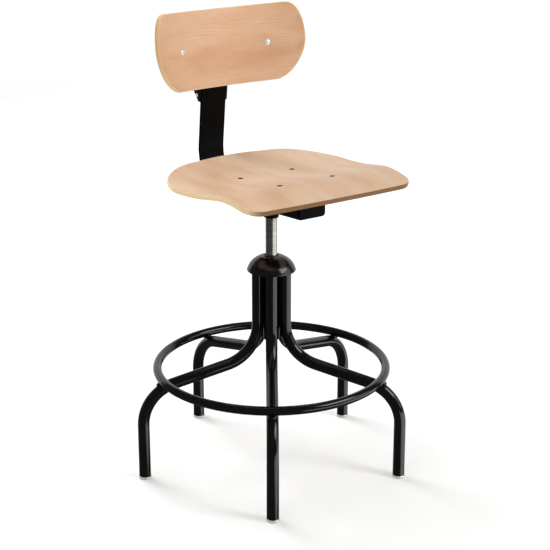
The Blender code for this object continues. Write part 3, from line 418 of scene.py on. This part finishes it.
def make_ring():
    """The foot ring, and a small weld bead where it lies on each leg."""
    low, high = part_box("foot_ring")
    height = (low.z + high.z) / 2
    section = (high.z - low.z) / 2
    ring_r = (high.x - low.x) / 2 - section
    across, round_it = 32, 200
    verts = []
    for i in range(round_it):
        a = 2 * math.pi * i / round_it
        for k in range(across):
            b = 2 * math.pi * k / across
            r = ring_r + section * math.cos(b)
            verts.append((AXIS.x + r * math.cos(a), AXIS.y + r * math.sin(a),
                          height + section * math.sin(b)))
    faces = []
    for i in range(round_it):
        for k in range(across):
            j, m = (i + 1) % round_it, (k + 1) % across
            faces.append((i * across + k, j * across + k, j * across + m, i * across + m))
    ring = new_object("enamelled_foot_ring", verts, faces, "base", BLACK_ENAMEL, sharp=180)
    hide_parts("foot_ring")
    steps = 20
    levels = ((3.0, 0.55), (1.8, 0.92), (0.0, 1.0), (-2.2, 0.95), (-4.4, 0.8))    # height, share of its size
    bead_length, bead_width = 10.5 * MM, 8.5 * MM
    for number, away in enumerate(leg_directions(), start=1):
        spot = Vector((AXIS.x + away.x * ring_r, AXIS.y + away.y * ring_r, height - section))
        bead = []
        for lift, size in levels:
            for i in range(steps):
                a = 2 * math.pi * i / steps
                ripple = 1 + 0.05 * math.sin(5 * a + number)
                along = bead_length * size * ripple * math.cos(a)
                side = bead_width * size * ripple * math.sin(a)
                tilt = -along * 0.35
                bead.append(spot + Vector((away.x * along - away.y * side,
                                           away.y * along + away.x * side, lift * MM + tilt)))
        skin = [tuple(range(steps))]
        for row in range(len(levels) - 1):
            top, under = row * steps, (row + 1) * steps
            for i in range(steps):
                j = (i + 1) % steps
                skin.append((top + i, under + i, under + j, top + j))
        skin.append(tuple(range(len(bead) - steps, len(bead)))[::-1])
        new_object(f"ring_weld_{number}", bead, skin, "base", BLACK_ENAMEL, sharp=70)


def smooth_curve(points, steps=6):
    """A Catmull-Rom curve through (radius, height) points."""
    p = [Vector(q) for q in points]
    p = [2 * p[0] - p[1], *p, 2 * p[-1] - p[-2]]
    made = []
    for a, b, c, d in zip(p[:-3], p[1:-2], p[2:-1], p[3:]):
        for i in range(steps):
            t = i / steps
            made.append(tuple(0.5 * (2 * b + (c - a) * t + (2 * a - 5 * b + 4 * c - d) * t * t
                                     + (3 * b - 3 * c + d - a) * t ** 3)))
    made.append(tuple(p[-2]))
    return made


def make_cap():
    """The bell cap with its raised lip round the spindle and its rolled rim, and the centre tube."""
    outer = smooth_curve([(17.6, 477.0), (24.5, 475.6), (32.4, 471.9), (40.4, 466.2), (46.4, 459.4),
                          (50.4, 451.8), (51.8, 448.0)], 6)
    lip = rounded([(14.8, 474.4), (14.8, 478.3), (16.9, 478.3), (17.6, 476.9)], 0.8)
    rim = rounded([(51.9, 447.8), (52.5, 446.6), (52.3, 444.8), (50.9, 444.4), (50.1, 447.2)], 0.7)
    inner = smooth_curve([(49.4, 450.2), (45.0, 458.0), (39.2, 464.5), (31.4, 470.0), (23.8, 473.4),
                          (17.0, 474.4)], 4)
    place = frame_at((AXIS.x, AXIS.y, 0), (0, 0, 1))
    profile = [(r * MM, z * MM) for r, z in (*lip, *outer, *rim, *inner)]
    verts, faces = lathe(profile, place, 128)
    cap = new_object("phenolic_bell_cap", verts, faces, "base", PHENOLIC)
    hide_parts("bell_cap")
    tube_profile = rounded([(16, 458), (18, 458), (18, 290), (16, 290)], 0.3)
    verts, faces = lathe([(r * MM, z * MM) for r, z in tube_profile], place, 72)
    column = new_object("enamelled_centre_tube", verts, faces, "base", BLACK_ENAMEL)
    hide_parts("centre_tube")


def make_shank():
    """The spindle as a plain turned bar, its lower end chamfered, with the hub above."""
    low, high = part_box("spindle")
    place = frame_at((AXIS.x, AXIS.y, 0), (0, 0, 1))
    profile = rounded([(0, high.z), (12.6 * MM, high.z), (12.6 * MM, low.z), (0, low.z)], 0.8 * MM)
    verts, faces = lathe(profile, place, 96)
    bar = new_object("turned_spindle", verts, faces, "upper", TURNED_STEEL)
    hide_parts("spindle")
    hub_low, hub_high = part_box("hub")
    profile = rounded([(0, hub_high.z), (16 * MM, hub_high.z), (16 * MM, hub_low.z),
                       (12.9 * MM, hub_low.z), (12.9 * MM, hub_low.z + 3 * MM), (0, hub_low.z + 3 * MM)],
                      1.0 * MM)
    verts, faces = lathe(profile, place, 96)
    hub = new_object("enamelled_hub", verts, faces, "upper", SATIN_ENAMEL)
    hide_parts("hub")


# ---------------------------------------------------------------- plywood


def panel(name, rungs, surface, thickness, radius, columns, body, face, edge, grain=1):
    """A moulded panel.  rungs are the two ends of each line across it in its own flat plan, and
    surface(point, depth) gives where a plan point lies, depth below the face.  The rim is rounded.
    "ply" holds the depth as a share of the thickness, and "end" how squarely the rim cuts the
    grain, which runs along the plan's axis number grain."""
    count = len(rungs)
    loop = [r[0] for r in rungs]
    last, first = rungs[-1], rungs[0]
    loop += [last[0].lerp(last[1], k / columns) for k in range(1, columns)]
    loop += [r[1] for r in rungs[::-1]]
    loop += [first[1].lerp(first[0], k / columns) for k in range(1, columns)]
    total = len(loop)
    normals = []
    for i in range(total):
        ahead = loop[(i + 1) % total] - loop[i - 1]
        normals.append(Vector((ahead.y, -ahead.x)).normalized())
    area = sum(loop[i - 1].cross(loop[i]) for i in range(total))
    if area < 0:
        normals = [-n for n in normals]
    section = []
    bend_steps = 6
    for k in range(bend_steps + 1):
        a = math.pi / 2 * k / bend_steps
        section.append((radius * (1 - math.sin(a)), radius * (1 - math.cos(a))))
    section += [(0.0, radius + (thickness - 2 * radius) * k / 3) for k in (1, 2)]
    section += [(inset, thickness - depth) for inset, depth in section[bend_steps::-1]]
    verts, ply, end = [], [], []
    for inset, depth in section:
        for point, normal in zip(loop, normals):
            verts.append(surface(point - normal * inset, depth))
            ply.append(depth / thickness)
            # this share also places the painted shade that the edge material mixes in as brown
            end.append(abs(normal[grain]))
    edge_faces = []
    for row in range(len(section) - 1):
        top, under = row * total, (row + 1) * total
        for i in range(total):
            j = (i + 1) % total
            edge_faces.append((top + i, under + i, under + j, top + j))

    def grid(row, depth, flip):
        """The flat faces inside one row of the rim, with their own points between the rungs."""
        base = row * total
        index = []
        for s in range(count):
            a = base + s
            b = base + (count + columns - 1) + (count - 1 - s)
            line = [a]
            for k in range(1, columns):
                if s == count - 1:
                    line.append(base + count - 1 + k)
                elif s == 0:
                    line.append(base + total - k)
                else:
                    pa = loop[s] - normals[s] * radius
                    ib = (count + columns - 1) + (count - 1 - s)
                    pb = loop[ib] - normals[ib] * radius
                    line.append(len(verts))
                    verts.append(surface(pa.lerp(pb, k / columns), depth))
                    ply.append(depth / thickness)
                    end.append(0.0)
            line.append(b)
            index.append(line)
        made = []
        for s in range(count - 1):
            for k in range(columns):
                quad = (index[s][k], index[s + 1][k], index[s + 1][k + 1], index[s][k + 1])
                made.append(quad[::-1] if flip else quad)
        return made

    faces = grid(0, 0.0, False) + grid(len(section) - 1, thickness, True)
    obj = new_object(name, verts, faces + edge_faces, body, [face, edge],
                     {"ply": ply, "end": end}, sharp=60)
    face_rows = 2                              # the veneer's own colour runs this far over the rim
    for polygon in obj.data.polygons:
        if polygon.index >= len(faces):
            rows = [corner // total for corner in polygon.vertices]
            if face_rows <= min(rows) and max(rows) < len(section) - face_rows:
                polygon.material_index = 1
    return obj


def spline_height(points):
    """A natural cubic spline through (distance, height) points, as a function."""
    xs = np.array([p[0] for p in points])
    ys = np.array([p[1] for p in points])
    count = len(xs)
    gaps = np.diff(xs)
    matrix = np.eye(count)
    right = np.zeros(count)
    for i in range(1, count - 1):
        matrix[i, i - 1:i + 2] = (gaps[i - 1], 2 * (gaps[i - 1] + gaps[i]), gaps[i])
        right[i] = 6 * ((ys[i + 1] - ys[i]) / gaps[i] - (ys[i] - ys[i - 1]) / gaps[i - 1])
    bends = np.linalg.solve(matrix, right)

    def height(x):
        i = int(np.clip(np.searchsorted(xs, x) - 1, 0, count - 2))
        a = (xs[i + 1] - x) / gaps[i]
        b = 1 - a
        curve = ((a ** 3 - a) * bends[i] + (b ** 3 - b) * bends[i + 1]) * gaps[i] ** 2 / 6
        return float(a * ys[i] + b * ys[i + 1] + curve)

    return height


seat_height = spline_height([(-170, 667.5), (-110, 656.0), (-50, 651.5), (10, 653.1), (70, 660.1),
                             (130, 668.3), (190, 662.6), (230, 655.0)])


def make_seat():
    """Widest at the rear with big round corners, narrower in front, waved from front to back."""
    half_rear, half_front, rear_f, front_f = 217.2, 204.9, -159.4, 228.3
    rear_bow, front_bow = 41.6, 3.2
    big, small = 127.8, 38.0                   # radii of the rear and front corners
    plan = []
    flat = half_rear - big
    for share in (0.1, 0.4, 0.7, 1.0):
        x = flat * share
        plan.append((x, rear_f + rear_bow * (x / half_rear) ** 2))
    corner_f = plan[-1][1] + big
    for i in range(1, 21):
        a = math.pi / 2 * i / 20
        plan.append((flat + big * math.sin(a), corner_f - big * math.cos(a)))
    flat_front = half_front - small
    front = front_f - front_bow * (flat_front / half_front) ** 2
    for i in range(1, 27):
        share = i / 26
        plan.append((half_rear + (half_front - half_rear) * share,
                     corner_f + (front - small - corner_f) * share))
    for i in range(1, 11):
        a = math.pi / 2 * i / 10
        plan.append((flat_front + small * math.cos(a), front - small + small * math.sin(a)))
    for share in (0.66, 0.33, 0.06):
        x = flat_front * share
        plan.append((x, front_f - front_bow * (x / half_front) ** 2))
    rungs = [(Vector((-x, f)), Vector((x, f))) for x, f in plan]

    def surface(point, depth):
        f = point.y
        tilt = math.atan(seat_height(f + 0.5) - seat_height(f - 0.5))
        forward = f + depth * math.sin(tilt)
        return Vector((AXIS.x + point.x * MM, AXIS.y - forward * MM,
                       (seat_height(f) - depth * math.cos(tilt)) * MM))

    seat = panel("plywood_seat", rungs, surface, 11.0, 3.6, 16, "upper",
                 SEAT_BEECH, SEAT_EDGE, 1)
    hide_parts("seat_panel")
    lean = 1.2                                 # a bolt's head lies this far in front of its middle
    for number in range(1, 5):
        low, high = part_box(f"seat_bolt_{number}")
        centre = (low + high) / 2
        f = (AXIS.y - centre.y) / MM
        rise = math.atan(seat_height(f + 0.5) - seat_height(f - 0.5))
        top = Vector((centre.x, centre.y - lean * MM, seat_height(f + lean) * MM))
        place = frame_at(top, (0, math.sin(rise), math.cos(rise)))
        # the floor of its drive recess stays above the seat's face, which has no hole under the head
        profile = rounded([(0, 0.16), (2.1, 0.16), (2.3, 0.38), (4.9, 0.35), (6.1, 0.02), (3.2, -3.6),
                           (3.0, -18.0), (0, -18.0)], 0.08)
        verts, faces = lathe([(r * MM, z * MM) for r, z in profile], place, 40)
        screw = new_object(f"blackened_seat_screw_{number}", verts, faces, "upper", DARK_STEEL)
        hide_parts(f"seat_bolt_{number}")


BACK_LEAN = math.radians(9.5)
BACK_CENTRE = Vector((AXIS.x, AXIS.y + 187.8 * MM, 893.1 * MM))
BACK_OUT = Vector((0, math.cos(BACK_LEAN), -math.sin(BACK_LEAN)))
BACK_UP = Vector((0, math.sin(BACK_LEAN), math.cos(BACK_LEAN)))
BACK_CURVE_R = 332.0


def on_back(arc, height, depth):
    """A point of the backrest: arc round its curve, height up it, depth behind its front face."""
    a = arc / BACK_CURVE_R
    r = BACK_CURVE_R + depth
    out = r * math.cos(a) - BACK_CURVE_R
    return (BACK_CENTRE + Vector((r * math.sin(a) * MM, 0, 0)) + BACK_OUT * (out * MM)
            + BACK_UP * (height * MM))


def make_backrest():
    """A curved panel with rounder lower corners than upper ones, on two dome-headed bolts."""
    width, height, thickness = 389.0, 165.0, 10.5
    top_corner, low_corner = (39.1, 76.3, 2.17), (71.2, 88.5, 1.72)    # width, height, roundness
    bolt_arc = 108.8

    def edge(arc, corner):
        w, h, power = corner
        over = abs(arc) - (width / 2 - w)
        if over <= 0:
            return height / 2
        share = min(over / w, 1.0)
        return height / 2 - h * (1 - (1 - share ** power) ** (1 / power))

    # rungs that crowd towards the ends, where the outline turns
    stations = [width / 2 * math.sin(math.pi / 2 * i / 28) ** 0.92 for i in range(29)]
    stations[-1] = width / 2 - 0.02
    arcs = [-a for a in stations[:0:-1]] + stations
    rungs = [(Vector((a, edge(a, top_corner))), Vector((a, -edge(a, low_corner)))) for a in arcs]
    back = panel("plywood_backrest", rungs, lambda p, d: on_back(p.x, p.y, d), thickness, 3.4, 10,
                 "backrest", BACK_BEECH, BACK_EDGE, 0)
    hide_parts("backrest_panel")
    for number, arc in ((1, -bolt_arc), (2, bolt_arc)):
        top = on_back(arc, 0, 0)
        out = on_back(arc, 0, -1) - top
        place = frame_at(top, out)
        profile = smooth_curve([(0, 2.7), (2.4, 2.55), (4.6, 2.0), (6.3, 1.0), (7.0, 0.25)], 5)
        profile += [(6.9, 0.12), (3.0, 0.1), (3.0, -22.0), (0, -22.0)]
        verts, faces = lathe([(r * MM, z * MM) for r, z in profile], place, 48)
        # the bolt domes' near-white nickel is a painted reflection of the white studio
        bolt = new_object(f"nickel_back_bolt_{number}", verts, faces, "backrest", NICKEL_WITH_PAINTED_REFLECTION)
        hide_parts(f"backrest_bolt_{number}")
    # the strap behind the panel, 0.3 mm clear of it, with round ends
    reach, half_h = 124.8, 18.0
    behind = thickness + 0.3
    rungs = []
    for i in range(41):
        arc = -reach + 2 * reach * i / 40
        cut = max(0.0, abs(arc) - (reach - half_h))
        h = math.sqrt(max(half_h ** 2 - cut ** 2, 9.0))
        rungs.append((Vector((arc, h)), Vector((arc, -h))))
    strap = panel("enamelled_back_strap", rungs, lambda p, d: on_back(p.x, p.y, behind + d), 3.0, 0.7, 4,
                  "backrest", SATIN_ENAMEL, SATIN_ENAMEL)
    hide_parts("back_strap")


# ---------------------------------------------------------------- carried CAD nodes

# the finish of each record slot
FINISHES = {
    "black_enamel": SATIN_ENAMEL, "black_plastic": BLACK_NYLON, "nylon": WHITE_NYLON,
    # nickel: its near-white colour is a painted reflection
    "rubber": RUBBER, "zinc": ZINC, "nickel": NICKEL_WITH_PAINTED_REFLECTION, "dark_screw": DARK_STEEL,
    "bronze": BRONZE, "bright_steel": TURNED_STEEL, "brown_black_plastic": PHENOLIC,
    "seat_plywood": SEAT_BEECH, "back_plywood": BACK_BEECH,
}

# how far the edges of a piece are eased, in millimetres
EASED = {"back_bar": 0.5, "back_slider": 0.5, "seat_channel": 0.6, "tilt_lug": 0.4, "tilt_bracket": 0.4,
         "seat_plate": 0.4, "clamp_bridge": 0.4, "depth_knob": 0.5, "height_knob": 0.5,
         "roller_lower": 0.5, "roller_upper": 0.5}


def finish_cad_nodes():
    """The pieces kept from the CAD get their finishes, smooth round faces and eased edges."""
    slots = {s["node"]: s["material_slot"] for s in frame["record"]["subparts"]}
    for name, obj in frame["nodes"].items():
        material = FINISHES[slots[name]]
        obj.data.materials.clear()
        obj.data.materials.append(material)
        for polygon in obj.data.polygons:
            polygon.material_index = 0
        obj.data.shade_smooth()
        obj.data.set_sharp_from_angle(angle=math.radians(32))
        if name in EASED:
            ease = obj.modifiers.new("eased edges", "BEVEL")
            ease.width = EASED[name] * MM
            ease.segments = 2
            ease.limit_method = "ANGLE"
            ease.angle_limit = math.radians(40)
            ease.harden_normals = True


# ---------------------------------------------------------------- floor, lights, camera


def across(x, y, z):
    """A point given as the camera sees it: x to the right of the axis, y away, z up."""
    c, s = math.cos(-VIEW_TURN), math.sin(-VIEW_TURN)
    return Vector((AXIS.x + x * c - y * s, AXIS.y + x * s + y * c, z))


def make_stage():
    """A plain pale floor."""
    half = 30.0
    mesh = bpy.data.meshes.new("floor")
    corners = [(-half, -half, 0), (half, -half, 0), (half, half, 0), (-half, half, 0)]
    mesh.from_pydata(corners, [], [(0, 1, 2, 3)])
    floor = bpy.data.objects.new("floor", mesh)
    bpy.context.scene.collection.objects.link(floor)
    # Matt white paper sweep: no sheen of its own, only soft shadows.
    material, tree, shader = start_material("white paper sweep", Base_Color="#F4F4F3", Roughness=0.95,
                                            Specular_IOR_Level=0.0, Emission_Color="#FFFFFF")
    # lit evenly near the stool, brighter far behind it, where the sweep turns up to the lamps
    coords = add(tree, "ShaderNodeTexCoord").outputs["Object"]
    away = add(tree, "ShaderNodeVectorMath", {0: coords}, operation="LENGTH").outputs["Value"]
    glow = add(tree, "ShaderNodeMapRange", {"Value": away, "From Min": 1.0, "From Max": 5.5,
                                            "To Min": 0.13, "To Max": 0.60})
    wire(tree, shader, {"Emission Strength": glow})
    mesh.materials.append(material)
    floor.visible_glossy = False


def softbox(name, place, target, width, height, power):
    """A soft lamp that lights the stool and doesn't show in its reflections."""
    light = bpy.data.lights.new(name, "AREA")
    light.shape = "RECTANGLE"
    light.size = width
    light.size_y = height
    light.energy = power
    obj = bpy.data.objects.new(name, light)
    bpy.context.scene.collection.objects.link(obj)
    obj.location = place
    obj.rotation_euler = (Vector(target) - Vector(place)).to_track_quat("-Z", "Y").to_euler()
    obj.visible_glossy = False


def card(name, place, target, width, height, glow):
    """A glowing board that only shows in reflections, as the lit floor beside the stool does."""
    mesh = bpy.data.meshes.new(name)
    w, h = width / 2, height / 2
    mesh.from_pydata([(-w, -h, 0), (w, -h, 0), (w, h, 0), (-w, h, 0)], [], [(0, 1, 2, 3)])
    obj = bpy.data.objects.new(name, mesh)
    bpy.context.scene.collection.objects.link(obj)
    obj.location = place
    obj.rotation_euler = (Vector(target) - Vector(place)).to_track_quat("-Z", "Y").to_euler()
    material = start_material(name, Base_Color="#000000", Emission_Color="#FFFFFF",
                              Emission_Strength=glow)[0]
    material.cycles.emission_sampling = "NONE"
    mesh.materials.append(material)
    obj.visible_camera = False
    obj.visible_diffuse = False
    obj.visible_shadow = False
    obj.visible_transmission = False


def make_lights():
    """A white room, four soft lamps, and the boards that the dark enamel reflects."""
    world = bpy.data.worlds.new("studio")
    bpy.context.scene.world = world
    world.use_nodes = True
    tree = world.node_tree
    path = add(tree, "ShaderNodeLightPath")
    # the lens sees white, reflections a dark studio with lit boards, all else a bright white room
    seen = add(tree, "ShaderNodeMath", {0: path.outputs["Is Camera Ray"], 1: 0.5, 2: 0.52},
               operation="MULTIPLY_ADD")
    strength = add(tree, "ShaderNodeMath", {0: path.outputs["Is Glossy Ray"], 1: -0.43, 2: seen},
                   operation="MULTIPLY_ADD")
    wire(tree, tree.nodes["Background"], {"Color": "#FFFFFF", "Strength": strength})
    softbox("right box", across(2.5, -1.2, 2.3), across(0, 0, 0.4), 0.9, 1.2, 38)
    softbox("overhead box", across(-0.8, 0.5, 3.3), across(0, 0, 0.5), 2.6, 2.2, 22)
    softbox("rear left box", across(-2.1, 1.9, 1.7), across(0, 0, 0.6), 1.8, 2.0, 66)
    softbox("front fill box", across(-1.5, -3.0, 1.9), across(0, 0, 0.7), 1.6, 1.6, 9)
    card("rear card", across(0, 3.6, 0.5), across(0, 0, 0.5), 11.0, 5.0, 0.80)
    card("right lamp face", across(2.35, -0.85, 2.1), across(0, 0, 0.45), 1.9, 1.2, 5.0)
    card("right low card", across(2.44, -0.82, -0.6), across(0, 0, 0.4), 4.6, 1.3, 2.0)
    card("right high card", across(2.6, -0.3, 1.0), across(0, 0, 0.8), 1.6, 1.2, 1.3)


def make_camera():
    """A long lens 3.1 m from the stool's axis and 1.5 m up, looking down at the stool."""
    data = bpy.data.cameras.new("camera")
    data.sensor_width = 36.0
    data.lens = 99.6997
    camera = bpy.data.objects.new("camera", data)
    bpy.context.scene.collection.objects.link(camera)
    yaw, pitch = 0.0025, 0.3281
    camera.location = across(0, -3.0771, 1.4797)
    look = across(math.sin(yaw) * math.cos(pitch), math.cos(yaw) * math.cos(pitch), 0) - across(0, 0, 0)
    look.z = -math.sin(pitch)
    camera.rotation_euler = look.to_track_quat("-Z", "Y").to_euler()
    bpy.context.scene.camera = camera


make_legs()
make_ring()
make_cap()
make_shank()
make_seat()
make_backrest()
finish_cad_nodes()
make_stage()
make_lights()
make_camera()
bpy.context.scene.view_settings.view_transform = "Standard"
